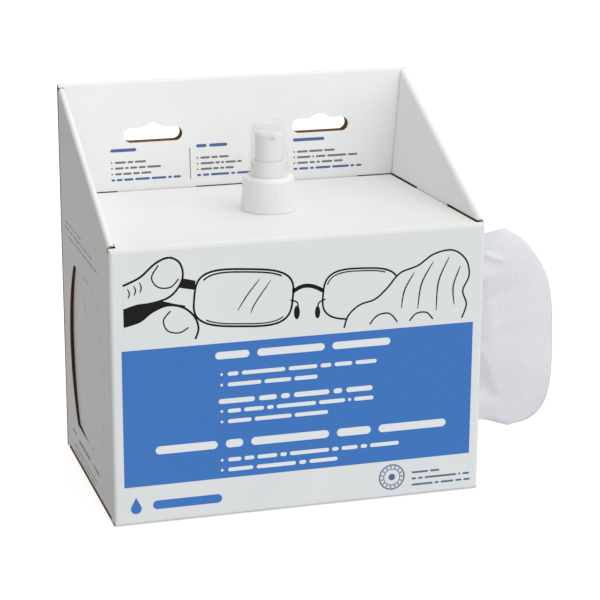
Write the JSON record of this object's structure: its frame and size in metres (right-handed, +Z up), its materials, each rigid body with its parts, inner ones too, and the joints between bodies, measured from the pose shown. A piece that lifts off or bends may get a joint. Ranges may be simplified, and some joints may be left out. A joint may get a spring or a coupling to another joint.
{
  "type": "lens cleaning station",
  "caption": "Folded board lens cleaning station: a fluid bottle with a capped spray pump through its deck, hang slots in a raised back, and tissues drawn from an opening in the side.",
  "frame": {"origin": "centre of the base, on the surface the carton stands on", "axes": "+Z up, -Y out of the front panel, +X out of the side the tissues are drawn from"},
  "size_m": [0.2926, 0.14, 0.225],
  "materials": {
    "coated_board": "satin",
    "bottle_plastic": "satin",
    "fluid": "gloss",
    "white_plastic": "satin",
    "natural_plastic": "satin",
    "clear_plastic": "gloss",
    "gasket": "matte",
    "steel": "satin",
    "tissue": "matte"
  },
  "bodies": {
    "station": {"front_panel": "coated_board", "left_side_panel": "coated_board", "right_side_panel": "coated_board", "back_panel": "coated_board", "glue_flap": "coated_board", "deck_panel": "coated_board", "back_liner": "coated_board", "left_wing_liner": "coated_board", "right_wing_liner": "coated_board", "bottom_panel": "coated_board", "left_dust_flap": "coated_board", "right_dust_flap": "coated_board", "left_tearout_front": "coated_board", "bottle": "bottle_plastic", "cleaning_fluid": "fluid", "left_tissue_stack": "tissue", "right_tissue_stack": "tissue"},
    "tearout_flap": {"left_tearout_rear": "coated_board"},
    "pump_engine": {"pump_housing": "white_plastic", "housing_retainer": "white_plastic", "neck_gasket": "gasket", "dip_tube": "natural_plastic", "ball_valve": "steel", "return_spring": "steel"},
    "closure_ring": {"closure": "white_plastic"},
    "cap": {"overcap": "clear_plastic"},
    "pump_rod": {"pump_stem": "white_plastic", "piston": "natural_plastic"},
    "spray_head": {"actuator": "white_plastic", "nozzle_insert": "natural_plastic"},
    "drawn_tissue": {"pulled_tissue": "tissue"}
  },
  "joints": [
    {"name": "tearout_swing", "type": "hinge", "parent": "station", "child": "tearout_flap", "pos_m": [-0.108, 0, 0.08], "axis": [0, 0, 1], "range_deg": [-5, 110]},
    {"name": "pump_lift", "type": "slide", "parent": "station", "child": "pump_engine", "axis": [0, 0, 1], "range_m": [0, 0.00635]},
    {"name": "closure_turn", "type": "hinge", "parent": "pump_engine", "child": "closure_ring", "pos_m": [0, -0.004, 0.17], "axis": [0, 0, 1], "range_deg": [0, 540.5]},
    {"name": "overcap_lift", "type": "slide", "parent": "closure_ring", "child": "cap", "axis": [0, 0, 1], "range_m": [0, 0.045]},
    {"name": "spray_press", "type": "slide", "parent": "pump_engine", "child": "pump_rod", "axis": [0, 0, -1], "range_m": [0, 0.0055], "stiffness_N_per_m": 1500, "springref_m": -0.001, "deforming": ["return_spring"]},
    {"name": "nozzle_turn", "type": "hinge", "parent": "pump_rod", "child": "spray_head", "pos_m": [0, -0.004, 0.2], "axis": [0, 0, 1], "continuous": true},
    {"name": "tissue_pull", "type": "slide", "parent": "station", "child": "drawn_tissue", "axis": [1, 0, 0], "range_m": [0, 0.11]}
  ],
  "couplings": [
    {"joint": "closure_turn", "follows": "pump_lift", "rad_per_m": 1484.3}
  ]
}
